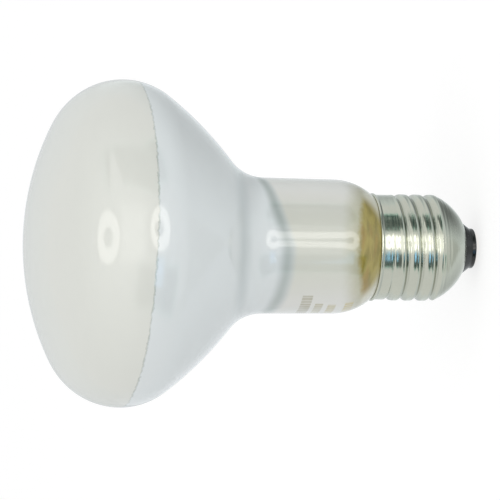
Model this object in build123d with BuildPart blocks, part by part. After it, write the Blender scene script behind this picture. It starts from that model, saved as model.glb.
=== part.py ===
"""Mushroom reflector bulb with an E27 screw cap.

The lamp stands cap down and face up. Z is the lamp's axis, and the origin is
the middle of the solder tip on the centre contact, where the lamp meets the
bottom of its holder. All sizes are in millimetres, angles in degrees.
"""
import os
from math import acos, asin, atan, cos, degrees, radians, sin, sqrt, tan

from build123d import *

os.makedirs("parts", exist_ok=True)

# Glass bulb, from the face down to the seal inside the cap
overall_length = 112.1
bulb_dia = 80.0
dome_rise = 23.3
front_round_r = 18.0
back_round_r = 16.9
back_round_turn = 36.8
cone_angle = 51.2
throat_r = 11.82
neck_top_dia = 33.3
neck_taper = 0.2
shoulder_h = 9.55
rim_gap = 0.1
round_past_rim = 4.5

# Screw shell, pressed from thin sheet with a rolled thread
shell_wall = 0.3
thread_major_dia = 26.15
thread_depth = 0.975
thread_pitch = 3.629
thread_turns = 4
thread_over_step = 1.15
root_flat = 1.0
crest_flat = 0.4
crest_ease_w = 0.42
crest_ease_h = 0.17
run_out_rise = 1.2
rim_z = 26.6
rim_stand = 0.175
flare_h = 1.0
mouth_h = 2.2
collar_h = 5.3
collar_inset = 0.225
collar_step_h = 1.0
end_bulge = 0.925
lip_dia = 12.8
lip_z = 3.65

# Ring of basing cement between the shell and the seal, which ends below it
cement_w = 1.6
cement_below_cone = 0.38
cement_depth = 9.6
seal_below_cement = 2.35

# Black glass insulator, moulded into the end of the shell
insulator_top_z = 7.2
insulator_bore_dia = 3.0
button_dia = 9.8
button_z = 1.7
button_end_z = 0.65
button_edge = 0.25

# Centre contact plate, and the drop of solder that closes its hole
contact_dia = 7.4
contact_stand = 0.25
contact_seat = 0.2
contact_hole_dia = 1.8
solder_dia = 4.6
solder_tip_dia = 3.0
solder_stem = 0.6

# Lead wires between the seal and the two contacts
wire_dia = 0.5
side_lead_r = 7.0
side_weld_rise = 1.35

# Radii of the shell follow from its thread, and the ring and the seal fit in its bore
crest_r = thread_major_dia / 2
root_r = crest_r - thread_depth
bore_r = root_r - shell_wall
collar_r = crest_r - collar_inset
rim_r = crest_r + rim_stand
lip_r = lip_dia / 2
seal_r = bore_r - cement_w

# Heights along the cap are counted down from the rim
collar_step_z = rim_z - collar_h
thread_top_z = collar_step_z + thread_over_step
mouth_z = rim_z - mouth_h
cement_low_z = rim_z - cement_depth
seal_z = cement_low_z - seal_below_cement

# The contact plate is let into the button's end
contact_r = contact_dia / 2
contact_low_z = button_end_z - contact_stand
contact_top_z = button_end_z + contact_seat

# The shell's end is part of a sphere about a point on the axis
end_sphere_r = crest_r + end_bulge
inner_sphere_r = end_sphere_r - shell_wall
end_centre_z = lip_z + sqrt(end_sphere_r**2 - lip_r**2)
lip_slope = degrees(acos(lip_r / end_sphere_r))
crest_slope = degrees(acos(crest_r / end_sphere_r))
bore_slope = degrees(acos(bore_r / inner_sphere_r))
insulator_slope = degrees(asin((end_centre_z - insulator_top_z) / inner_sphere_r))

# The side lead is welded to the wall just above that rounded end
bore_low_z = end_centre_z - inner_sphere_r * sin(radians(bore_slope))
side_weld_z = bore_low_z + side_weld_rise

# The face is a shallow dome that runs tangent into the front rounding
bulb_r = bulb_dia / 2
round_centre_r = bulb_r - front_round_r
face_r = (front_round_r**2 - round_centre_r**2 - dome_rise**2) / (2 * (front_round_r - dome_rise))
face_turn = degrees(asin(round_centre_r / (face_r - front_round_r)))

# The back's long curve fills the width between its rounding and the throat
neck_top_r = neck_top_dia / 2
back_end_r = bulb_r - back_round_r * (1 - cos(radians(back_round_turn)))
throat_start_r = neck_top_r + throat_r * (1 - cos(radians(cone_angle)))
cone_curve_r = (back_end_r - throat_start_r) / (cos(radians(back_round_turn)) - cos(radians(cone_angle)))

# The neck's lower rounding passes just inside the rim and on into the cap
neck_low_r = neck_top_r - neck_taper
neck_low_z = rim_z + shoulder_h
neck_draw = neck_low_r - (rim_r - shell_wall - rim_gap)
neck_round_r = (neck_draw**2 + shoulder_h**2) / (2 * neck_draw)
neck_round_turn = 2 * degrees(atan(neck_draw / shoulder_h)) + round_past_rim

# From there a short cone leads to the straight seal, with the cement round it
round_end_r = neck_low_r - neck_round_r * (1 - cos(radians(neck_round_turn)))
round_end_z = neck_low_z - neck_round_r * sin(radians(neck_round_turn))
seal_top_z = round_end_z - (round_end_r - seal_r) / tan(radians(neck_round_turn))
cement_top_z = seal_top_z - cement_below_cone

# Glass bulb, one blown piece: face, rounded rim, curved back, neck and seal
with BuildPart() as glass_bulb:
    with BuildSketch(Plane.XZ):
        with BuildLine():
            face = JernArc((0, overall_length), (1, 0), face_r, -face_turn)
            front = JernArc(face @ 1, face % 1, front_round_r, face_turn - 90)
            back = JernArc(front @ 1, front % 1, back_round_r, -back_round_turn)
            cone = JernArc(back @ 1, back % 1, cone_curve_r, back_round_turn - cone_angle)
            throat = JernArc(cone @ 1, cone % 1, throat_r, cone_angle)
            neck = Line(throat @ 1, (neck_low_r, neck_low_z))
            neck_round = JernArc(neck @ 1, (0, -1), neck_round_r, -neck_round_turn)
            seal_cone = Line(neck_round @ 1, (seal_r, seal_top_z))
            Polyline(seal_cone @ 1, (seal_r, seal_z), (0, seal_z), face @ 0)
        make_face()
    revolve(axis=Axis.Z)
glass_bulb.part.label = "glass_bulb"
export_step(glass_bulb.part, "parts/glass_bulb.step")

# Section of the thread's groove: a narrow root, steep flanks and eased crests
groove_low_z = thread_top_z - thread_turns * thread_pitch
with BuildSketch(Plane.XZ) as groove:
    with BuildLine():
        ease_r = crest_r - crest_ease_h
        clear_r = crest_r + thread_depth / 2
        root_half = root_flat / 2
        ease_half = (thread_pitch - crest_flat) / 2 - crest_ease_w
        crest_half = (thread_pitch - crest_flat) / 2
        Polyline(
            (root_r, groove_low_z - root_half),
            (root_r, groove_low_z + root_half),
            (ease_r, groove_low_z + ease_half),
            (crest_r, groove_low_z + crest_half),
            (clear_r, groove_low_z + crest_half),
            (clear_r, groove_low_z - crest_half),
            (crest_r, groove_low_z - crest_half),
            (ease_r, groove_low_z - ease_half),
            close=True,
        )
    make_face()

# The groove climbs from under the rounded end to the collar, right-handed
with BuildPart() as groove_turns:
    with BuildLine() as groove_path:
        Helix(thread_pitch, thread_turns * thread_pitch, crest_r, (0, 0, groove_low_z))
    sweep(groove.sketch, path=groove_path.line, is_frenet=True)

# and fades out there over a quarter of a turn, where the rolling tool lifts
with BuildPart() as groove_end:
    with BuildLine() as run_out_path:
        run_out_h = thread_pitch / 4
        run_out_cone = degrees(atan(run_out_rise / run_out_h))
        Helix(thread_pitch, run_out_h, crest_r, (0, 0, thread_top_z), cone_angle=run_out_cone)
    top_section = groove.sketch.moved(Location((0, 0, thread_turns * thread_pitch)))
    sweep(top_section, path=run_out_path.line, is_frenet=True)

# Screw shell: a sleeve with a rounded end, a collar and a flared rim
with BuildPart() as screw_shell:
    with BuildSketch(Plane.XZ):
        with BuildLine():
            end_arc = CenterArc((0, end_centre_z), end_sphere_r, -lip_slope, lip_slope - crest_slope)
            crest_line = Line(end_arc @ 1, (crest_r, collar_step_z - collar_step_h / 2))
            step_line = Line(crest_line @ 1, (collar_r, collar_step_z + collar_step_h / 2))
            collar_line = Line(step_line @ 1, (collar_r, rim_z - flare_h))
            flare_line = Line(collar_line @ 1, (rim_r, rim_z))
            rim_line = Line(flare_line @ 1, (rim_r - shell_wall, rim_z))
            mouth_line = Line(rim_line @ 1, (bore_r, mouth_z))
            end_in = CenterArc((0, end_centre_z), inner_sphere_r, -bore_slope, bore_slope - lip_slope)
            bore_line = Line(mouth_line @ 1, end_in @ 0)
            Line(end_in @ 1, end_arc @ 0)
        make_face()
    revolve(axis=Axis.Z)
    add(groove_turns.part, rotation=(0, 0, 180), mode=Mode.SUBTRACT)
    add(groove_end.part, rotation=(0, 0, 180), mode=Mode.SUBTRACT)
screw_shell.part.label = "screw_shell"
export_step(screw_shell.part, "parts/screw_shell.step")

# Basing cement, a ring that fills the space between bore and seal
with BuildPart() as basing_cement:
    with BuildSketch(Plane.XY.offset(cement_low_z)):
        Circle(bore_r)
        Circle(seal_r, mode=Mode.SUBTRACT)
    extrude(amount=cement_top_z - cement_low_z)
basing_cement.part.label = "basing_cement"
export_step(basing_cement.part, "parts/basing_cement.step")

# Insulator: fills the rounded end, holds the lip and stands out as a button
with BuildPart() as cap_insulator:
    with BuildSketch(Plane.XZ):
        with BuildLine():
            end_seat = CenterArc(
                (0, end_centre_z), inner_sphere_r, -lip_slope, lip_slope - insulator_slope
            )
            lip_out = (lip_r, lip_z)
            button_r = button_dia / 2
            bore_in = insulator_bore_dia / 2
            Polyline(
                end_seat @ 0,
                lip_out,
                (button_r, button_z),
                (button_r, button_end_z + button_edge),
                (button_r - button_edge, button_end_z),
                (contact_r, button_end_z),
                (contact_r, contact_top_z),
                (bore_in, contact_top_z),
                (bore_in, insulator_top_z),
                end_seat @ 1,
            )
        make_face()
    revolve(axis=Axis.Z)
cap_insulator.part.label = "cap_insulator"
export_step(cap_insulator.part, "parts/cap_insulator.step")

# Contact plate, let into the button's end, with a hole for the lead
with BuildPart() as centre_contact:
    with BuildSketch(Plane.XY.offset(contact_low_z)):
        Circle(contact_r)
        Circle(contact_hole_dia / 2, mode=Mode.SUBTRACT)
    extrude(amount=contact_top_z - contact_low_z)
centre_contact.part.label = "centre_contact"
export_step(centre_contact.part, "parts/centre_contact.step")

# Solder: a flattened drop under the plate, with a stem up through the hole
solder_top_z = contact_top_z + solder_stem
with BuildPart() as contact_solder:
    with BuildSketch(Plane.XZ):
        with BuildLine():
            Polyline(
                (0, 0),
                (solder_tip_dia / 2, 0),
                (solder_dia / 2, contact_low_z),
                (contact_hole_dia / 2, contact_low_z),
                (contact_hole_dia / 2, solder_top_z),
                (0, solder_top_z),
                close=True,
            )
        make_face()
    revolve(axis=Axis.Z)
contact_solder.part.label = "contact_solder"
export_step(contact_solder.part, "parts/contact_solder.step")

# Centre lead, from the seal straight down to the solder
with BuildPart() as centre_lead:
    with BuildSketch(Plane.XY.offset(solder_top_z)):
        Circle(wire_dia / 2)
    extrude(amount=seal_z - solder_top_z)
centre_lead.part.label = "centre_lead"
export_step(centre_lead.part, "parts/centre_lead.step")

# Side lead, from the seal slantwise to the wall of the shell
lead_start = Vector(0, side_lead_r, seal_z)
lead_end = Vector(0, bore_r, side_weld_z)
lead_run = (lead_end - lead_start).normalized()
with BuildPart() as side_lead:
    with BuildSketch(Plane(lead_start - lead_run * wire_dia * 2, z_dir=lead_run)):
        Circle(wire_dia / 2)
    extrude(amount=(lead_end - lead_start).length + wire_dia * 4)
    with BuildSketch(Plane.XY.offset(insulator_top_z)) as cavity:
        Circle(bore_r)
    extrude(amount=seal_z - insulator_top_z, mode=Mode.INTERSECT)
side_lead.part.label = "side_lead"
export_step(side_lead.part, "parts/side_lead.step")
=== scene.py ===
# %% [markdown]
# # A mushroom reflector bulb
# This lesson dresses a finished CAD model of a lamp. The model stands cap down,
# Z is the lamp's axis, and the CAD frame stays where it is. The blown glass, the
# rolled shell and the pressed end are made again with finer curves, because a
# gloss shows every facet, and each of them then gets its own finish.

# %% Load the frame
import math
import bpy
from mathutils import Matrix, Vector


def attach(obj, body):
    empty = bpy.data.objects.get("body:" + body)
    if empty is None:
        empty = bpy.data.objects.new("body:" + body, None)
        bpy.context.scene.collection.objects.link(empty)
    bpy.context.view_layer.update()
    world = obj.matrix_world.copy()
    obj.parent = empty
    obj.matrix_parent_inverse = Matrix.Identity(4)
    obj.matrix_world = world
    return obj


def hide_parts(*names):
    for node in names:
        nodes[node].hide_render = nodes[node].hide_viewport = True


MM = 0.001


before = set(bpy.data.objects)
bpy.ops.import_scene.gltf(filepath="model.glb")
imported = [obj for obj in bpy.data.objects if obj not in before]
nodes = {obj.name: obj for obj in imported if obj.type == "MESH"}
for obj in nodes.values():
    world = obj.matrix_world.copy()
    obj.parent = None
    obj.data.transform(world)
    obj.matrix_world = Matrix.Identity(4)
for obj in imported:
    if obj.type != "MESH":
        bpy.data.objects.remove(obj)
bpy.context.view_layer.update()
print("CAD nodes:", sorted(nodes))

# %% [markdown]
# ## The camera
# The picture was taken with a long lens, nearly square to the lamp's side and
# 11.9 degrees round towards its face. The lamp lies across the picture, face to
# the left, so the camera's right hand points down the axis to the cap and its
# top points along +X. A constraint could aim the camera, but it would not give
# the slight slope of the lamp in the picture. A camera looks along its own -Z, so
# its matrix is made from those three directions.

# %% Aim the camera
aim = Vector((-1.15, 0, 56.65)) * MM
turn_to_face, picture_slope = math.radians(11.9), math.radians(0.8)
camera_distance, focal_length, sensor_width, far_clip = 1.5, 441.2, 36, 20
to_camera = Vector((0, -math.cos(turn_to_face), math.sin(turn_to_face)))
to_cap = Vector((0, 0, -1))
along_axis = (to_cap - to_cap.project(to_camera)).normalized()
picture_right = math.cos(picture_slope) * along_axis + math.sin(picture_slope) * Vector((1, 0, 0))
picture_up = to_camera.cross(picture_right)


def laid_along(right, up, back):
    """The turn that lays an object's own X, Y and Z along these directions."""
    return Matrix((right, up, back)).transposed().to_quaternion()


lens = bpy.data.cameras.new("portrait lens")
lens.sensor_width = sensor_width
lens.lens = focal_length
lens.clip_end = far_clip
camera = bpy.data.objects.new("camera", lens)
bpy.context.scene.collection.objects.link(camera)
camera.matrix_world = Matrix.LocRotScale(
    aim + to_camera * camera_distance,
    laid_along(picture_right, picture_up, to_camera),
    None,
)
bpy.context.scene.camera = camera
print("camera stands at", [round(v, 4) for v in camera.location])

# %% [markdown]
# ## Drawing an outline
# Everything on this lamp is round, so each piece is an outline turned about the
# axis. A curve with a Screw modifier would do too, but edit mode gives true arcs
# between exact ends: a small triangle is merged into a single vertex, extruding
# that vertex draws a straight run, and Spin about an arc's centre draws the arc.
# The last vertex stays selected, ready for the next stroke. Spin counts its angle
# left-handed, so its axis is -Y here.

# %% Strokes for an outline
def start_outline(name, x, z):
    """Begins a piece as one vertex at x, z in millimetres, in edit mode."""
    bpy.ops.object.select_all(action="DESELECT")
    bpy.ops.mesh.primitive_circle_add(vertices=3, radius=MM)
    piece = bpy.context.object
    piece.name = piece.data.name = name
    bpy.ops.object.mode_set(mode="EDIT")
    bpy.ops.mesh.select_all(action="SELECT")
    bpy.ops.mesh.merge(type="CENTER")
    bpy.ops.transform.translate(value=(x * MM, 0, z * MM))
    piece["pen"] = (x, z)
    return piece


def run_to(piece, x, z, steps=1):
    """A straight run from the pen to x, z."""
    px, pz = piece["pen"]
    stride = ((x - px) * MM / steps, 0, (z - pz) * MM / steps)
    for _ in range(steps):
        bpy.ops.mesh.extrude_region_move(TRANSFORM_OT_translate={"value": stride})
    piece["pen"] = (x, z)


def bend_round(piece, cx, cz, degrees, steps):
    """An arc about cx, cz; a positive angle leads from +Z towards +X."""
    bpy.ops.mesh.spin(
        steps=steps, angle=math.radians(degrees),
        center=(cx * MM, 0, cz * MM), axis=(0, -1, 0),
    )
    px, pz = piece["pen"]
    c, s = math.cos(math.radians(degrees)), math.sin(math.radians(degrees))
    dx, dz = px - cx, pz - cz
    piece["pen"] = (cx + c * dx + s * dz, cz - s * dx + c * dz)


# %% [markdown]
# ## From outline to piece
# A finished outline is spun once round Z. Spin leaves a double row of vertices at
# its seam and many at each pole, so doubles are merged before the normals are
# turned outwards. The piece's place then goes into its mesh, because a finished
# piece sits at the origin, and it stands in for its CAD node.

# %% Turn an outline and finish the piece
SAME_PLACE = 2e-7


def turn_about_axis(piece, steps):
    """Turns the finished outline once round Z and closes the seam and the poles."""
    bpy.ops.mesh.select_all(action="SELECT")
    bpy.ops.mesh.spin(steps=steps, angle=2 * math.pi, center=(0, 0, 0), axis=(0, 0, 1))
    bpy.ops.mesh.select_all(action="SELECT")
    bpy.ops.mesh.remove_doubles(threshold=SAME_PLACE)
    bpy.ops.mesh.normals_make_consistent(inside=False)
    bpy.ops.object.mode_set(mode="OBJECT")
    print(f"{piece.name}: outline turned in {steps} steps, {len(piece.data.vertices)} vertices")


def finish_piece(piece, node, smooth_angle):
    """Puts the piece's place into its mesh, smooths it and stands it in for its node."""
    bpy.ops.object.transform_apply(location=True, rotation=True, scale=True)
    bpy.ops.object.shade_smooth_by_angle(angle=math.radians(smooth_angle))
    del piece["pen"]
    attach(piece, "root")
    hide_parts(node)
    low = [round(min(v.co[i] for v in piece.data.vertices) / MM, 2) for i in range(3)]
    high = [round(max(v.co[i] for v in piece.data.vertices) / MM, 2) for i in range(3)]
    print(f"{piece.name}: {len(piece.data.polygons)} faces, from {low} to {high} mm")


# %% [markdown]
# ## The blown glass
# A reflector bulb is blown in a mould, so its outline is a chain of arcs that run
# tangent into each other: a shallow face, a round rim, a long curved back, a
# tight throat, and a neck that draws in under the cap. A rough form under a
# Subdivision Surface would be quicker, but it can't hold measured radii. Here each
# arc starts where the last one ends, and only its radius and angle are given.

# %% Sizes of the glass
length, bulb_r, dome_rise = 112.1, 40.0, 23.3
front_r, back_r, back_turn, cone_angle, throat_r = 18.0, 16.9, 36.8, 51.2, 11.82
neck_top_r, neck_low_r = 16.65, 16.45
rim_z, shoulder_h, rim_r, wall, rim_gap = 26.6, 9.55, 13.25, 0.3, 0.1
seal_r, seal_end_z, turn_past_rim = 10.2, 14.65, 4.5

front_in = bulb_r - front_r
face_r = (front_r**2 - front_in**2 - dome_rise**2) / (2 * (front_r - dome_rise))
face_turn = math.degrees(math.asin(front_in / (face_r - front_r)))
back_end_r = bulb_r - back_r * (1 - math.cos(math.radians(back_turn)))
throat_start_r = neck_top_r + throat_r * (1 - math.cos(math.radians(cone_angle)))
cone_r = (back_end_r - throat_start_r) / (
    math.cos(math.radians(back_turn)) - math.cos(math.radians(cone_angle))
)
neck_draw = neck_low_r - (rim_r - wall - rim_gap)
shoulder_r = (neck_draw**2 + shoulder_h**2) / (2 * neck_draw)
shoulder_turn = 2 * math.degrees(math.atan(neck_draw / shoulder_h)) + turn_past_rim
print("arcs in mm: face", round(face_r, 2), "cone", round(cone_r, 2), "shoulder", round(shoulder_r, 2))


# %% Glass envelope
def beyond(piece, radius, degrees):
    """Centre of an arc of that radius, seen from the pen in that direction."""
    x, z = piece["pen"]
    a = math.radians(degrees)
    return x + radius * math.cos(a), z + radius * math.sin(a)


glass = start_outline("glass_envelope", 0, length)
bend_round(glass, 0, length - face_r, face_turn, steps=36)
bend_round(glass, front_in, length - dome_rise, 90 - face_turn, steps=28)
bend_round(glass, bulb_r - back_r, length - dome_rise, back_turn, steps=18)
bend_round(glass, *beyond(glass, cone_r, 180 - back_turn), cone_angle - back_turn, steps=16)
bend_round(glass, *beyond(glass, throat_r, -cone_angle), -cone_angle, steps=26)
run_to(glass, neck_low_r, rim_z + shoulder_h, steps=8)
bend_round(glass, neck_low_r - shoulder_r, rim_z + shoulder_h, shoulder_turn, steps=22)
cone_end_r, cone_end_z = glass["pen"]
seal_start_z = cone_end_z - (cone_end_r - seal_r) / math.tan(math.radians(shoulder_turn))
run_to(glass, seal_r, seal_start_z, steps=2)
run_to(glass, seal_r, seal_end_z, steps=4)
run_to(glass, 0, seal_end_z, steps=4)
turn_about_axis(glass, steps=200)
finish_piece(glass, "glass_bulb", smooth_angle=40)

# %% [markdown]
# ## The sleeve of the screw shell
# The cap is thin sheet: a rounded end, a long wall that will carry the thread, a
# plain collar, and a flared rim that is rolled over to a small round lip and
# closes in on the glass. A Solidify modifier could give a single wall its
# thickness, but the bore is plain and the outside is not, so both sides are drawn
# as one closed outline. The wall has many steps, so the thread has vertices to push.

# %% Sleeve of the screw shell
crest_r, collar_r, collar_step_z, step_h = 13.075, 12.88, 21.3, 1.0
flare_h, upright_h, lip_round = 1.0, 0.5, 0.385
lip_r, lip_z, end_r = 6.4, 3.65, 14.0
bore_r, mouth_z = 11.8, 24.4
end_centre_z = lip_z + math.sqrt(end_r**2 - lip_r**2)
lip_slope = math.degrees(math.acos(lip_r / end_r))
crest_slope = math.degrees(math.acos(crest_r / end_r))
bore_slope = math.degrees(math.acos(bore_r / (end_r - wall)))
bore_end_z = end_centre_z - (end_r - wall) * math.sin(math.radians(bore_slope))

shell = start_outline("screw_shell_rolled", lip_r, lip_z)
bend_round(shell, 0, end_centre_z, crest_slope - lip_slope, steps=56)
run_to(shell, crest_r, collar_step_z - step_h / 2, steps=100)
run_to(shell, collar_r, collar_step_z + step_h / 2, steps=6)
run_to(shell, collar_r, rim_z - flare_h, steps=22)
run_to(shell, rim_r, rim_z - upright_h, steps=5)
run_to(shell, rim_r, rim_z - lip_round, steps=2)
bend_round(shell, rim_r - lip_round, rim_z - lip_round, -90, steps=10)
run_to(shell, bore_r, mouth_z, steps=4)
run_to(shell, bore_r, bore_end_z, steps=10)
bend_round(shell, 0, end_centre_z, lip_slope - bore_slope, steps=16)
run_to(shell, lip_r, lip_z)
turn_about_axis(shell, steps=200)

# %% [markdown]
# ## Rolling the thread
# A knuckle thread is rolled into the sheet: wide, nearly level crests with a
# narrow round groove between them and no sharp edge. A Boolean along a helix would
# leave slivers where the groove runs out, so every vertex is pushed in instead, as
# far as the rolling tool bites at its height and angle. A high power of a cosine
# is such a groove, round at the root and level at the crest. The tool lifts out
# slowly in the plain collar, so the last groove runs out in it.

# %% Roll the thread into the sleeve
thread_depth, pitch, turns, groove_power = 0.7, 3.629, 4, 6
above_step, tool_lift, lift_over, run_out_at = 1.15, 1.2, math.radians(260), math.pi
full_turn = 2 * math.pi
root_r, thread_top_z = crest_r - thread_depth, collar_step_z + above_step


def left_by_tool(offset):
    """Radius that the tool leaves at this distance from the middle of its groove."""
    if offset >= pitch / 2:
        return crest_r
    return crest_r - thread_depth * math.cos(math.pi * offset / pitch) ** groove_power


deepest = 0
for v in shell.data.vertices:
    r, height = math.hypot(v.co.x, v.co.y) / MM, v.co.z / MM
    if r < root_r or height > mouth_z:
        continue
    angle = (math.atan2(v.co.y, v.co.x) - run_out_at) % full_turn
    kept_r = r
    for k in range(turns + 1):
        past_end = angle + full_turn * (k - turns)
        lift = max(0, past_end) / lift_over * tool_lift
        middle = thread_top_z + pitch * past_end / full_turn
        if lift < tool_lift:
            kept_r = min(kept_r, left_by_tool(abs(height - middle)) + lift)
    deepest = max(deepest, r - kept_r)
    v.co.x *= kept_r / r
    v.co.y *= kept_r / r
print("thread rolled", round(deepest, 3), "mm deep")
finish_piece(shell, "screw_shell", smooth_angle=35)

# %% [markdown]
# ## The end of the cap
# Black glass is poured into the shell's rounded end and pressed to a button.
# Its outline follows the shell's inside, steps out over the lip and ends at the
# recess for the contact plate. Pressed glass has no knife edges. Each corner could
# be drawn as an arc, but a Bevel modifier rounds them all at once after the
# outline is turned.

# %% Helper for rounded corners
def round_corners(piece, width, segments, angle):
    """Bevels the corners sharper than that angle and applies the modifier."""
    bevel = piece.modifiers.new("corners", "BEVEL")
    bevel.limit_method = "ANGLE"
    bevel.angle_limit = math.radians(angle)
    bevel.width, bevel.segments = width * MM, segments
    bpy.ops.object.modifier_apply(modifier=bevel.name)


# %% Black glass insulator
top_z, insulator_bore_r = 7.2, 1.5
button_r, button_z, button_end_z, button_edge = 4.9, 1.7, 0.65, 0.25
contact_r, contact_low_z, contact_top_z = 3.7, 0.4, 0.85
seat_slope = math.degrees(math.asin((end_centre_z - top_z) / (end_r - wall)))
seat_r = (end_r - wall) * math.cos(math.radians(seat_slope))

insulator = start_outline("insulator_pressed", insulator_bore_r, top_z)
run_to(insulator, seat_r, top_z, steps=4)
bend_round(insulator, 0, end_centre_z, lip_slope - seat_slope, steps=14)
run_to(insulator, lip_r, lip_z)
run_to(insulator, button_r, button_z, steps=5)
run_to(insulator, button_r, button_end_z + button_edge, steps=2)
run_to(insulator, button_r - button_edge, button_end_z)
run_to(insulator, contact_r, button_end_z, steps=2)
run_to(insulator, contact_r, contact_top_z)
run_to(insulator, insulator_bore_r, contact_top_z, steps=3)
run_to(insulator, insulator_bore_r, top_z, steps=6)
turn_about_axis(insulator, steps=120)
round_corners(insulator, width=0.12, segments=3, angle=20)
finish_piece(insulator, "cap_insulator", smooth_angle=40)

# %% [markdown]
# ## The contact plate
# A small brass plate closes the end of the cap, with a hole for the lead. It is a
# punched ring, so a turned rectangle with slightly rounded corners is enough.

# %% Contact plate
plate_hole_r = 0.9
plate = start_outline("contact_plate", plate_hole_r, contact_top_z)
run_to(plate, contact_r, contact_top_z, steps=3)
run_to(plate, contact_r, contact_low_z)
run_to(plate, plate_hole_r, contact_low_z, steps=3)
run_to(plate, plate_hole_r, contact_top_z)
turn_about_axis(plate, steps=96)
round_corners(plate, width=0.09, segments=3, angle=30)
finish_piece(plate, "centre_contact", smooth_angle=40)

# %% [markdown]
# ## The drop of solder
# The lead comes through the plate's hole and is soldered over. The drop sags and
# freezes unevenly. Sculpting could shape it, but a seeded random move of the
# vertices on its side gives the same drop at every run. They are then held inside
# the drop's own size, and the tip stays flat, because that is the face that meets
# the lamp holder.

# %% Drop of solder
tip_r, drop_r, stud_top_z, sag, margin = 1.5, 2.3, 1.45, 0.05, 0.01
drop_strokes = (
    (tip_r, 0, 4), (1.92, 0.05, 1), (2.18, 0.17, 1), (drop_r, contact_low_z, 1),
    (plate_hole_r, contact_low_z, 3), (plate_hole_r, stud_top_z, 2), (0, stud_top_z, 2),
)
solder = start_outline("solder_drop", 0, 0)
for x, z, steps in drop_strokes:
    run_to(solder, x, z, steps)
turn_about_axis(solder, steps=64)
bpy.ops.object.mode_set(mode="EDIT")
bpy.ops.mesh.select_all(action="DESELECT")
bpy.ops.object.mode_set(mode="OBJECT")
for v in solder.data.vertices:
    v.select = margin < v.co.z / MM < contact_low_z - margin
bpy.ops.object.mode_set(mode="EDIT")
bpy.ops.transform.vertex_random(offset=sag * MM, uniform=0.2, normal=0.0, seed=4)
bpy.ops.object.mode_set(mode="OBJECT")
for v in solder.data.vertices:
    off_axis = max(1e-9, math.hypot(v.co.x, v.co.y))
    shrink = min(1, (drop_r - margin) * MM / off_axis)
    v.co = (v.co.x * shrink, v.co.y * shrink, max(0, min(v.co.z, stud_top_z * MM)))
finish_piece(solder, "contact_solder", smooth_angle=60)

# %% [markdown]
# ## Building finishes from nodes
# A finish is a Principled shader fed by a small net of nodes. Nets can be drawn
# in the Shader Editor, but in code a few helpers keep them short and readable:
# one adds a node and plugs its inputs, others do sums, ramps and noise, and one
# starts a material. Every pattern reads Object coordinates, so it sits on the lamp
# itself, and a first node turns metres into millimetres.

# %% Helpers for nodes and sums
def rgb(r, g, b):
    """A screen colour from 0 to 255 as the linear colour that a shader takes."""
    screen = [c / 255 for c in (r, g, b)]
    linear = [c / 12.92 if c < 0.04045 else ((c + 0.055) / 1.055) ** 2.4 for c in screen]
    return (*linear, 1)


def socket_of(node, key):
    """A node's input by its name, or by its number for i0, i1 and so on."""
    if key[0] == "i" and key[1:].isdigit():
        return node.inputs[int(key[1:])]
    return node.inputs[key.replace("_", " ")]


def plug(tree, node, **inputs):
    """Joins each input to another node's output, or writes a plain value on it."""
    for key, value in inputs.items():
        if isinstance(value, bpy.types.NodeSocket):
            tree.links.new(value, socket_of(node, key))
        else:
            socket_of(node, key).default_value = value


def add(tree, kind, settings=None, **inputs):
    """Adds a node, sets its options and plugs its inputs."""
    node = tree.nodes.new(kind)
    for key, value in (settings or {}).items():
        setattr(node, key, value)
    plug(tree, node, **inputs)
    return node


def calc(tree, operation, a, b=0.0, c=0.0):
    """One sum: the output of a Math node."""
    return add(tree, "ShaderNodeMath", {"operation": operation}, i0=a, i1=b, i2=c).outputs[0]


def plus(tree, first, *others):
    """Values added together."""
    for other in others:
        first = calc(tree, "ADD", first, other)
    return first


def times(tree, first, *others):
    """Values multiplied together."""
    for other in others:
        first = calc(tree, "MULTIPLY", first, other)
    return first


def line(tree, value, slope, start):
    """A straight line: the start, plus the slope times the value."""
    return calc(tree, "MULTIPLY_ADD", value, slope, start)


# %% Helpers for masks and colours
def ramp(tree, value, low, high, to_low=0.0, to_high=1.0):
    """A smooth step of the value between low and high."""
    return add(
        tree, "ShaderNodeMapRange", {"interpolation_type": "SMOOTHSTEP"}, Value=value,
        From_Min=low, From_Max=high, To_Min=to_low, To_Max=to_high,
    ).outputs[0]


def near(tree, value, middle, inner, outer):
    """1 where the value is within inner of the middle, falling to 0 at outer."""
    away = calc(tree, "ABSOLUTE", calc(tree, "SUBTRACT", value, middle))
    return ramp(tree, away, outer, inner)


def blend(tree, mask, a, b):
    """Colour a where the mask is 0, colour b where it is 1."""
    settings = {"data_type": "RGBA", "clamp_factor": True}
    return add(tree, "ShaderNodeMix", settings, i0=mask, i6=a, i7=b).outputs[2]


def scaled(tree, vector, factor):
    """A vector or a colour times a value."""
    return add(tree, "ShaderNodeVectorMath", {"operation": "SCALE"}, i0=vector, Scale=factor).outputs[0]


def length_of(tree, vector):
    """The length of a vector."""
    return add(tree, "ShaderNodeVectorMath", {"operation": "LENGTH"}, i0=vector).outputs["Value"]


def axes_of(tree, vector):
    """The X, Y and Z of a vector."""
    return add(tree, "ShaderNodeSeparateXYZ", None, Vector=vector).outputs


def stretched(tree, place, scale, shift=(0, 0, 0)):
    """A place scaled along each axis and then shifted."""
    return add(tree, "ShaderNodeMapping", None, Vector=place, Location=shift, Scale=scale).outputs[0]


# %% Helpers for a finish
def millimetres(tree):
    """The place on the piece in millimetres."""
    return scaled(tree, add(tree, "ShaderNodeTexCoord").outputs["Object"], 1 / MM)


def axis_distance(tree, x, y):
    """The distance from the lamp's axis."""
    return calc(tree, "SQRT", plus(tree, times(tree, x, x), times(tree, y, y)))


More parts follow.
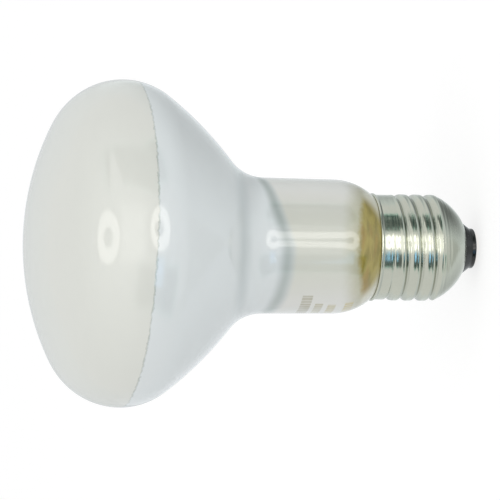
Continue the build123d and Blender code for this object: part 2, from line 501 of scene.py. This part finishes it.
def noise(tree, place, scale, detail=2.0, roughness=0.5):
    """Noise from -0.5 to 0.5, that many waves to the millimetre."""
    texture = add(
        tree, "ShaderNodeTexNoise", None,
        Vector=place, Scale=scale, Detail=detail, Roughness=roughness,
    )
    return calc(tree, "SUBTRACT", texture.outputs["Fac"], 0.5)


def bumped(tree, height, strength, depth):
    """The normal of a surface with this pattern of heights, depth in millimetres."""
    bump = add(tree, "ShaderNodeBump", None, Height=height, Strength=strength, Distance=depth * MM)
    return bump.outputs["Normal"]


def empty_net(owner):
    """Turns on the nodes of a material or a world and clears them."""
    owner.use_nodes = True
    owner.node_tree.nodes.clear()
    return owner.node_tree


def new_finish(name):
    """A material with a Principled shader, and nothing plugged into it yet."""
    material = bpy.data.materials.new(name)
    tree = empty_net(material)
    shader = add(tree, "ShaderNodeBsdfPrincipled")
    add(tree, "ShaderNodeOutputMaterial", None, Surface=shader.outputs["BSDF"])
    return material, tree, shader


def wear(piece, material):
    """Puts the finish on a piece or a node, in place of what it had."""
    piece.data.materials.clear()
    piece.data.materials.append(material)
    print(piece.name, "wears", material.name)


# %% [markdown]
# ## A shared effect: handling
# A lamp that has been taken out of its box has faint smears and a little dust
# on it. Each finish could have its own noise for that, but the same effect sits on
# the glass, the shell and the end with different strengths, so it is built once as
# a node group. It puts out a soft tone to multiply a colour with, and a smear mask
# that dulls the gloss.

# %% Handling group
handling = bpy.data.node_groups.new("handling", "ShaderNodeTree")
sockets = handling.interface
for name, default in (("Tone", 0.05), ("Smear", 0.5), ("Scale", 0.05)):
    socket = sockets.new_socket(name, in_out="INPUT", socket_type="NodeSocketFloat")
    socket.default_value = default
sockets.new_socket("Place", in_out="INPUT", socket_type="NodeSocketVector")
sockets.new_socket("Shade", in_out="OUTPUT", socket_type="NodeSocketFloat")
sockets.new_socket("Smears", in_out="OUTPUT", socket_type="NodeSocketFloat")

finer, fine_share = 9.0, 0.5
given = add(handling, "NodeGroupInput").outputs
large = noise(handling, given["Place"], given["Scale"])
fine_scale = times(handling, given["Scale"], finer)
fine = noise(handling, given["Place"], fine_scale, detail=4.0, roughness=0.65)
swing = times(handling, large, given["Tone"])
grain = times(handling, fine, given["Tone"], fine_share)
patches = ramp(handling, large, 0.0, 0.2)
add(
    handling, "NodeGroupOutput", None,
    Shade=plus(handling, swing, grain, 1.0),
    Smears=times(handling, patches, plus(handling, fine, 0.5), given["Smear"]),
)


def handled(tree, place, tone, smear, scale):
    """Places the handling group; gives its shade and its smears."""
    group = add(
        tree, "ShaderNodeGroup", {"node_tree": handling},
        Place=place, Tone=tone, Smear=smear, Scale=scale,
    )
    return group.outputs["Shade"], group.outputs["Smears"]


print("handling group:", len(handling.nodes), "nodes")

# %% [markdown]
# ## The coats on the glass
# The outside is clear, glossy glass, and the colour sits behind it: a milky face,
# and a dull mirror coat on the back that ends in a ragged line near the rim and in
# a soft, slanted edge at the neck. The coats could be painted on an image, but
# masks along the axis need no unwrapping. Noise frays them. Two values tell where
# round the lamp a place is: side is 1 at +X, and front is 1 at -Y.

# %% Where the coats end
milk_glass, tree, shader = new_finish("coated glass")
place = millimetres(tree)
x, y, z = axes_of(tree, place)
from_axis = calc(tree, "MAXIMUM", axis_distance(tree, x, y), 0.01)
side = calc(tree, "DIVIDE", x, from_axis)
front = times(tree, calc(tree, "DIVIDE", y, from_axis), -1.0)
ragged = noise(tree, place, 0.8, detail=3.0, roughness=0.6)
lazy = noise(tree, place, 0.1, detail=1.0)

seam_z, seam_lean, seam_fray, seam_wander = 87.3, -1.3, 1.1, 0.5
frayed = line(tree, ragged, seam_fray, times(tree, lazy, seam_wander))
past_seam = calc(tree, "SUBTRACT", z, plus(tree, line(tree, side, seam_lean, seam_z), frayed))
milky = ramp(tree, past_seam, -0.1, 0.1)
seam_strength = ramp(tree, noise(tree, place, 0.5), -0.2, 0.15, 0.15, 0.45)
seam_line = times(tree, near(tree, past_seam, 0.0, 0.12, 0.34), seam_strength)

mirror_end_z, mirror_wander, front_reach, side_climb = 52.75, 0.8, -2.9, 2.5
lean = calc(tree, "MAXIMUM", side, 0.0)
climb = times(tree, lean, calc(tree, "SUBTRACT", 2.0, lean))
mirror_end = line(tree, front, front_reach, line(tree, lazy, mirror_wander, mirror_end_z))
mirror_end = line(tree, climb, side_climb, mirror_end)
past_mirror = times(tree, calc(tree, "SUBTRACT", z, mirror_end), line(tree, lean, 0.4, 1.0))
mirrored = ramp(tree, past_mirror, -2.0, 0.8)
# Painted reflection: a darker grey band along the mirror coat's lower edge stands in for the darker
# surroundings that the curved glass there reflects.
dark_edge_reflection = times(tree, mirrored, ramp(tree, past_mirror, 3.6, 0.8), line(tree, lean, 0.2, 0.8))
# Painted shade: a faint grey ring round the concave throat stands in for the darker surroundings it
# reflects and the shade that falls in it.
throat_z, throat_half_h = 62.4, 3.2
throat_shade_ring = near(tree, z, throat_z, 0.0, throat_half_h)
print("coats: milk above", seam_z, "mm, mirror down to", mirror_end_z, "mm")

# %% [markdown]
# ## Cement behind the glass
# Below the mirror coat the glass is bare, and brown cement shows through it just
# above the cap, with a warm haze over it. Real clear glass over a cement ring
# would need rays bent inside a hollow bulb. The bulb is one closed piece, so the
# brown is a zone on it, streaked by stretched noise. Near the outline one looks
# along the glass and not through it, so Layer Weight fades the brown there to a
# pale painted light, and the bare glass there gets lighter with painted light that
# shines through the thin wall.

# %% Bare glass and cement
cement_z, cement_rise, cement_wander, cement_fray = 29.2, 3.6, 1.2, 1.2
bare_middle, bare_outline_light, warm_haze = rgb(207, 209, 199), rgb(217, 218, 213), rgb(176, 175, 146)
dark_brown, light_brown, red_brown = rgb(136, 123, 48), rgb(161, 147, 66), rgb(150, 116, 44)
cement_outline_light = rgb(215, 215, 198)

cement_at = line(tree, lazy, cement_wander, cement_z)
cement_at = line(tree, times(tree, front, front), cement_rise, cement_at)
past_cement = calc(tree, "SUBTRACT", z, line(tree, ragged, cement_fray, cement_at))
cemented = ramp(tree, past_cement, 1.1, -0.9)
warmed = ramp(tree, past_cement, 5.5, 0.0, 0.0, 0.85)
grazing = add(tree, "ShaderNodeLayerWeight", None, Blend=0.5).outputs["Facing"]

streaked = stretched(tree, place, (0.2, 0.2, 0.75))
streaks = ramp(tree, noise(tree, streaked, 1.0, detail=3.0), -0.16, 0.16)
stains = ramp(tree, noise(tree, streaked, 0.6, detail=1.0), 0.02, 0.2, 0.0, 0.5)
brown = blend(tree, streaks, dark_brown, light_brown)
brown = blend(tree, stains, brown, red_brown)
# Painted light: towards the outline the brown and the bare glass turn paler, standing in for light that
# shines through the thin wall.
brown = blend(tree, ramp(tree, grazing, 0.42, 0.66), brown, cement_outline_light)
colour = blend(tree, ramp(tree, grazing, 0.05, 0.5), bare_middle, bare_outline_light)
colour = blend(tree, warmed, colour, warm_haze)
colour = blend(tree, cemented, colour, brown)
print("cement shows up to about", cement_z + cement_rise, "mm at the front")

# %% [markdown]
# ## The worn stamp on the neck
# Four short rows of golden ink run round the neck, nearly rubbed off. Each row is
# a plain bar: a band of heights times a reach of angles. Separate thin meshes
# would catch the light at their edges, so the ink is only a colour. A sine breaks
# each bar into strokes, and noise wears it.

# %% Worn print bars
ink_strength, row_fade, reach_fade, stroke_rate = 0.75, 0.15, 0.8, 1.5
around = calc(tree, "DEGREES", calc(tree, "ARCTAN2", front, times(tree, side, -1.0)))
strokes = ramp(tree, calc(tree, "SINE", times(tree, around, stroke_rate)), -0.5, 0.5, 0.5, 1.0)
worn = ramp(tree, noise(tree, place, 0.35, detail=1.0), -0.2, 0.2, 0.7, 1.0)
inked = times(tree, worn, strokes, ink_strength)
print_rows = (
    (44.4, 1.3, 8, 43, rgb(136, 128, 84)),
    (41.0, 1.0, 8, 32, rgb(158, 149, 96)),
    (37.7, 1.0, 8, 30, rgb(174, 160, 86)),
    (33.4, 1.1, 10, 33, rgb(186, 166, 76)),
)
for height, half_h, first, last, ink in print_rows:
    middle, half_reach = (first + last) / 2, (last - first) / 2
    band = near(tree, z, height, half_h - row_fade, half_h + row_fade)
    reach = near(tree, around, middle, half_reach - reach_fade, half_reach + reach_fade)
    colour = blend(tree, times(tree, band, reach, inked), colour, ink)
print("print rows:", len(print_rows))

# %% [markdown]
# ## Glass over the colours
# Now the coats are laid over the bare glass: mirror, a painted darker reflection along
# its lower edge, a painted grey shade in the throat, the milky face and the seam line.
# Real glass in front of a coat shows two layers, a clear gloss and a matt colour. A glass
# shader would let light into the closed piece, so a clear coat over a diffuse base gives both.

# %% Coated glass
mirror_coat, edge_reflection_grey = rgb(215, 221, 222), rgb(162, 172, 169)
throat_shade_grey, throat_shade_strength = rgb(166, 178, 179), 0.36
milk, seam_grey = rgb(216, 218, 211), rgb(132, 143, 135)
colour = blend(tree, mirrored, colour, mirror_coat)
colour = blend(tree, dark_edge_reflection, colour, edge_reflection_grey)
colour = blend(tree, times(tree, throat_shade_ring, throat_shade_strength), colour, throat_shade_grey)
colour = blend(tree, milky, colour, milk)
colour = blend(tree, seam_line, colour, seam_grey)
shade, smears = handled(tree, place, tone=0.03, smear=0.12, scale=0.04)
plug(
    tree, shader,
    Base_Color=scaled(tree, colour, shade),
    Roughness=plus(tree, ramp(tree, milky, 0.0, 1.0, 0.42, 0.5), smears),
    Specular_IOR_Level=0.4, Coat_Weight=1.0, Coat_Roughness=0.05, Coat_IOR=1.6,
)
wear(glass, milk_glass)

# %% [markdown]
# ## The plated shell
# The shell is nickel plated and bright. Rolling leaves fine lines that run round
# it and slow waves along the thread, and the grooves are a little darker grey. A
# map of the grooves could be baked, but the distance from the axis already tells a groove
# from a crest. Lines, ripples and waves share one bump, far too shallow to model.

# %% Nickel plating
plating, groove_grey, groove_grey_strength = rgb(187, 190, 178), rgb(128, 132, 122), 0.3
groove_r, groove_root_r, groove_grey_from_z, groove_grey_full_z = 12.7, 12.15, 8.5, 10.0
waves_a_turn, waves_low_z, waves_high_z = 4.0, (7.6, 9.4), (22.6, 21.4)
nickel, tree, shader = new_finish("nickel plating")
place = millimetres(tree)
x, y, z = axes_of(tree, place)
in_groove = ramp(tree, axis_distance(tree, x, y), groove_r, groove_root_r)
# The grooves are made a little darker grey, from this height up.
greyer_in_grooves = times(tree, in_groove, ramp(tree, z, groove_grey_from_z, groove_grey_full_z), groove_grey_strength)
on_thread = times(tree, ramp(tree, z, *waves_high_z), ramp(tree, z, *waves_low_z))
rolled = stretched(tree, place, (0.25, 0.25, 6.0))
lines = noise(tree, rolled, 1.0, detail=3.0, roughness=0.6)
ripples = noise(tree, rolled, 0.25, detail=1.0)
angle = calc(tree, "ARCTAN2", y, x)
along_thread = calc(tree, "SUBTRACT", times(tree, z, full_turn / pitch), angle)
waves = calc(tree, "SINE", times(tree, along_thread, waves_a_turn))
uneven = line(tree, ripples, 1.8, times(tree, lines, 0.6))
colour = blend(tree, greyer_in_grooves, plating, groove_grey)
shade, smears = handled(tree, place, tone=0.12, smear=0.25, scale=0.12)
plug(
    tree, shader,
    Base_Color=scaled(tree, colour, shade), Metallic=1.0,
    Roughness=plus(tree, line(tree, lines, 0.08, 0.16), smears),
    Normal=bumped(tree, line(tree, waves, on_thread, uneven), strength=0.9, depth=0.018),
)
wear(shell, nickel)

# %% [markdown]
# ## Black glass
# The pressed glass of the insulator is nearly black, with a flowing surface that
# bends its gloss. It is thick and lets no light through, so an opaque shader with
# a thin clear coat does, and one slow noise drives colour, gloss and bump together.

# %% Black glass
black_glass, tree, shader = new_finish("black glass")
place = millimetres(tree)
flow = noise(tree, place, 0.5)
deep_black, soft_black = rgb(14, 14, 15), rgb(24, 24, 25)
colour = blend(tree, ramp(tree, flow, -0.2, 0.2), deep_black, soft_black)
shade, smears = handled(tree, place, tone=0.3, smear=0.25, scale=0.25)
plug(
    tree, shader,
    Base_Color=scaled(tree, colour, shade),
    Roughness=plus(tree, line(tree, flow, 0.1, 0.24), smears),
    Specular_IOR_Level=0.35, Coat_Weight=0.25, Coat_Roughness=0.08,
    Normal=bumped(tree, flow, strength=0.25, depth=0.1),
)
wear(insulator, black_glass)

# %% [markdown]
# ## Brass, solder and wire
# The contact plate is brass with a dull skin, the solder is a soft grey metal with
# a grainy, frozen surface, and the leads are coppery wire. Three separate nets
# would say the same thing three times, so one function makes all of them from two
# tones, the size of their grain, their gloss and its depth.

# %% Brass, solder and lead wire
def dull_metal(name, dark_tone, light_tone, scale, base_rough, depth):
    """A metal with a spotty skin: two tones, an uneven gloss and a grainy surface."""
    material, tree, shader = new_finish(name)
    place = millimetres(tree)
    skin = noise(tree, place, scale, detail=4.0, roughness=0.6)
    colour = blend(tree, ramp(tree, skin, -0.2, 0.2), dark_tone, light_tone)
    shade, smears = handled(tree, place, tone=0.2, smear=0.3, scale=scale * 0.3)
    plug(
        tree, shader,
        Base_Color=scaled(tree, colour, shade), Metallic=1.0,
        Roughness=plus(tree, line(tree, skin, 0.2, base_rough), smears),
        Normal=bumped(tree, skin, strength=0.4, depth=depth),
    )
    return material


brass = dull_metal(
    "contact brass", rgb(150, 118, 62), rgb(206, 176, 108), scale=0.9, base_rough=0.32, depth=0.03
)
grey_solder = dull_metal(
    "grey solder", rgb(140, 140, 140), rgb(196, 196, 194), scale=1.6, base_rough=0.38, depth=0.06
)
lead_metal = dull_metal(
    "lead wire", rgb(150, 120, 98), rgb(200, 176, 154), scale=2.0, base_rough=0.35, depth=0.02
)
wear(plate, brass)
wear(solder, grey_solder)
for name in ("centre_lead", "side_lead"):
    wear(nodes[name], lead_metal)

# %% [markdown]
# ## Basing cement
# The ring that holds the glass in the shell is baked resin and stone dust. It is
# matt and grainy, brown with lighter specks. The CAD ring has the right shape, so
# it only gets a finish: a coarse noise for the grains and a fine one for the specks.

# %% Cement
cement, tree, shader = new_finish("basing cement")
place = millimetres(tree)
grains = noise(tree, place, 2.2, detail=4.0, roughness=0.7)
specks = ramp(tree, noise(tree, place, 5.0), 0.1, 0.22)
dark_grain, light_grain, pale_speck = rgb(132, 108, 62), rgb(170, 146, 92), rgb(206, 192, 150)
colour = blend(tree, ramp(tree, grains, -0.2, 0.2), dark_grain, light_grain)
plug(
    tree, shader,
    Base_Color=blend(tree, specks, colour, pale_speck),
    Roughness=line(tree, grains, 0.1, 0.85),
    Normal=bumped(tree, grains, strength=0.6, depth=0.2),
)
wear(nodes["basing_cement"], cement)

# %% [markdown]
# ## White surroundings
# For the camera, and in the gloss of metal and glass, the surroundings are plain
# white, as in a studio with white walls. The light itself is even, comes from all
# round and is weaker than that white, or the pale glass would burn out. One world
# can do both, because Light Path tells what kind of ray asks.

# %% White world
WHITE = (1, 1, 1, 1)
even_light, white_level = 0.68, 1.0
scene = bpy.context.scene
scene.view_settings.view_transform = "Standard"
world = bpy.data.worlds.new("white studio")
scene.world = world
tree = empty_net(world)
rays = add(tree, "ShaderNodeLightPath").outputs
mirrored_ray = calc(tree, "MAXIMUM", rays["Is Glossy Ray"], rays["Is Transmission Ray"])
seen = calc(tree, "MAXIMUM", rays["Is Camera Ray"], mirrored_ray)
light = add(tree, "ShaderNodeBackground", None, Color=WHITE, Strength=even_light)
white = add(tree, "ShaderNodeBackground", None, Color=WHITE, Strength=white_level)
both = add(tree, "ShaderNodeMixShader", None, i0=seen, i1=light.outputs[0], i2=white.outputs[0])
add(tree, "ShaderNodeOutputWorld", None, Surface=both.outputs[0])
print("world:", len(tree.nodes), "nodes, light", even_light)

# %% [markdown]
# ## The floor
# The lamp stands on a pale floor that runs on as the backdrop. A shadow catcher
# would need compositing, so the floor is a matt plane with some glow mixed in for
# the camera alone: it comes out nearly white and keeps a faint shadow.

# %% Pale floor
floor_size, floor_drop = 8, 0.1
pale, glow_level, glow_share = (0.93, 0.93, 0.93, 1), 1.16, 0.65
bpy.ops.object.select_all(action="DESELECT")
bpy.ops.mesh.primitive_plane_add(size=floor_size, location=(0, 0, -floor_drop * MM))
floor = bpy.context.object
floor.name = "pale_floor"
floor.visible_glossy = False
floor_paint = bpy.data.materials.new("pale floor")
tree = empty_net(floor_paint)
matt = add(tree, "ShaderNodeBsdfDiffuse", None, Color=pale)
glow = add(tree, "ShaderNodeEmission", None, Color=WHITE, Strength=glow_level)
seen = times(tree, add(tree, "ShaderNodeLightPath").outputs["Is Camera Ray"], glow_share)
both = add(tree, "ShaderNodeMixShader", None, i0=seen, i1=matt.outputs[0], i2=glow.outputs[0])
add(tree, "ShaderNodeOutputMaterial", None, Surface=both.outputs[0])
floor.data.materials.append(floor_paint)
print("floor at", round(floor.location.z / MM, 2), "mm")

# %% [markdown]
# ## What the gloss shows
# Two round umbrellas stood either side of the camera, each with its flash head
# as a dark spot in the middle, and the clear glass shows them as pale rings. Metal
# needs something dark to reflect too, or it looks like grey paint. An image of a
# studio could stand in the world, but single cards are easier to move. So each
# thing is a glowing card: umbrellas, a ceiling panel, a lit wall by the camera, a
# blue window, dark cards above and below, and dimmer walls behind.

# %% Paint for a card
flash_head_level = 0.25


def card_paint(name, colour, middle, rim=1.0, soft_from=0.8, square=True, hole=None):
    """Light for a card, from the strength in its middle to the strength at its rim.

    A hole is a dark oval, where the flash head stands: its middle and half sizes."""
    material = bpy.data.materials.new(name)
    tree = empty_net(material)
    place = add(tree, "ShaderNodeTexCoord").outputs["Object"]
    if square:
        across, upward, _ = axes_of(tree, place)
        outward = calc(tree, "MAXIMUM", calc(tree, "ABSOLUTE", across), calc(tree, "ABSOLUTE", upward))
    else:
        outward = length_of(tree, place)
    level = ramp(tree, outward, 1.0, soft_from, rim, middle)
    if hole:
        middle_x, wide, high = hole
        oval = stretched(tree, place, (1 / wide, 1 / high, 1), (-middle_x / wide, 0, 0))
        off_head = ramp(tree, length_of(tree, oval), 0.8, 1.2, flash_head_level, 1.0)
        level = times(tree, level, off_head)
    glow = add(tree, "ShaderNodeEmission", None, Color=colour, Strength=level)
    add(tree, "ShaderNodeOutputMaterial", None, Surface=glow.outputs[0])
    return material


def cloth_paint(name, middle, hole):
    """Light for an umbrella of warm white cloth."""
    warm_white = (1.0, 0.985, 0.94, 1)
    return card_paint(name, warm_white, middle, rim=0.6, square=False, hole=hole)


left_cloth = cloth_paint("left umbrella", 3.0, hole=(0, 0.36, 0.33))
right_cloth = cloth_paint("right umbrella", 3.6, hole=(-0.14, 0.4, 0.3))
panel = card_paint("ceiling panel", (1.0, 1.0, 0.98, 1), 1.2)
lit_wall = card_paint("lit wall", (1.0, 0.99, 0.96, 1), 1.75, soft_from=0.5)
sky = card_paint("pale blue glow", (0.36, 0.7, 1.0, 1), 1.8, soft_from=0.85)
blue = card_paint("blue window", (0.3, 0.6, 1.0, 1), 2.6, soft_from=0.5, square=False)
dark = card_paint("dark card", (0.6, 1.0, 0.88, 1), 0.1, soft_from=0.7)
half_dark = card_paint("half dark card", (0.82, 0.95, 0.9, 1), 0.2, soft_from=0.7)
grey = card_paint("grey card", (0.85, 1.0, 0.93, 1), 0.22, soft_from=0.7)
grey_wall = card_paint("grey wall", (0.96, 1.0, 0.97, 1), 0.7, soft_from=0.4)
dusk = card_paint("dim wall", (0.92, 0.98, 1.0, 1), 0.25, soft_from=0.0, square=False)
half_dusk = card_paint("pale wall", (0.94, 0.98, 1.0, 1), 0.75, soft_from=0.0, square=False)
print("materials with the card paints:", len(bpy.data.materials))

# %% [markdown]
# ## Standing the cards
# A card's place is easiest to read off a reflection as an angle from the camera,
# so each one is stood by its degrees right and up of the camera, with half sizes
# in degrees too, and turned to the lamp. The cards only show in the gloss: they
# light nothing, throw no shadow, and the camera doesn't see them.

# %% Cards and umbrellas
def towards(right, up):
    """The direction that many degrees right of and above the line to the camera."""
    a, b = math.radians(right), math.radians(up)
    level = to_camera * math.cos(a) + picture_right * math.sin(a)
    return level * math.cos(b) + picture_up * math.sin(b)


def stand_card(name, right, up, half_width, half_height, paint, distance, round_card=False):
    """Stands a card at that direction, facing the lamp; its half sizes are in degrees."""
    bpy.ops.object.select_all(action="DESELECT")
    if round_card:
        bpy.ops.mesh.primitive_circle_add(vertices=64, radius=1, fill_type="NGON")
    else:
        bpy.ops.mesh.primitive_plane_add(size=2)
    card = bpy.context.object
    card.name = name
    facing = towards(right, up)
    up_edge = (picture_up - picture_up.project(facing)).normalized()
    half_sizes = [math.tan(math.radians(half)) * distance for half in (half_width, half_height)]
    card.matrix_world = Matrix.LocRotScale(
        aim + facing * distance,
        laid_along(up_edge.cross(facing), up_edge, facing),
        Vector((*half_sizes, 1)),
    )
    card.data.materials.append(paint)
    for ray in ("camera", "diffuse", "shadow", "transmission"):
        setattr(card, f"visible_{ray}", False)


# name, degrees right and up, half width and half height in degrees, paint, metres away
umbrellas = (
    ("umbrella_left", -45, 4, 20, 17, left_cloth, 1.3),
    ("umbrella_right", 36, 9.8, 18.5, 16.8, right_cloth, 1.3),
)
cards = (
    ("ceiling_panel", -20, 50, 24, 16, panel, 1.3),
    ("wall_by_camera", -6, 7, 25, 25, lit_wall, 1.7),
    ("blue_glow", 35.5, -19, 7.5, 10, sky, 1.25),
    ("blue_window", 37, -17.5, 4, 4.5, blue, 1.2),
    ("dark_card_high", 46, 55, 14, 17, dark, 1.4),
    ("dark_card_left", -8, 55, 42, 17, grey, 1.25),
    ("dark_card_low", 51, -29, 21, 17, dark, 1.3),
    ("dark_card_under", 18, -29, 18, 17, half_dark, 1.35),
    ("wall_high", 132, 34, 52, 35, dusk, 1.2),
    ("wall_low", 142, -27, 36, 26, half_dusk, 1.2),
    ("wall_right", 104, -2, 18, 42, grey_wall, 1.5),
    ("wall_behind", 180, 0, 52, 52, half_dusk, 1.7),
)
for umbrella in umbrellas:
    stand_card(*umbrella, round_card=True)
for card in cards:
    stand_card(*card)
print("umbrellas:", len(umbrellas), "cards:", len(cards))

# %% [markdown]
# ## Lamps
# Large soft lamps stand where the umbrellas' light comes from, on the side of the
# face and beside the camera, with a weak one above and one for the far side. Small
# lamps would be simpler to aim, but wide ones show no edge of a shadow. On the
# camera's side they add about two thirds to the even light of the surroundings.
# The gloss leaves them out: the cards are there for that.

# %% Soft lamps
lamp_distance, lamp_width = 1.1, 0.8


def soft_lamp(name, right, up, watts):
    """A square lamp at that direction, turned towards the bulb."""
    data = bpy.data.lights.new(name, "AREA")
    data.shape, data.size, data.energy = "SQUARE", lamp_width, watts
    lamp = bpy.data.objects.new(name, data)
    scene.collection.objects.link(lamp)
    lamp.location = aim + towards(right, up) * lamp_distance
    lamp.rotation_euler = towards(right, up).to_track_quat("Z", "Y").to_euler()
    lamp.visible_glossy = False


soft_lamp("lamp_face_side", -58, -6, watts=1.9)
soft_lamp("lamp_front", 3, 4, watts=3.4)
soft_lamp("lamp_above", -10, 60, watts=0.3)
soft_lamp("lamp_far_side", 175, 25, watts=2.2)
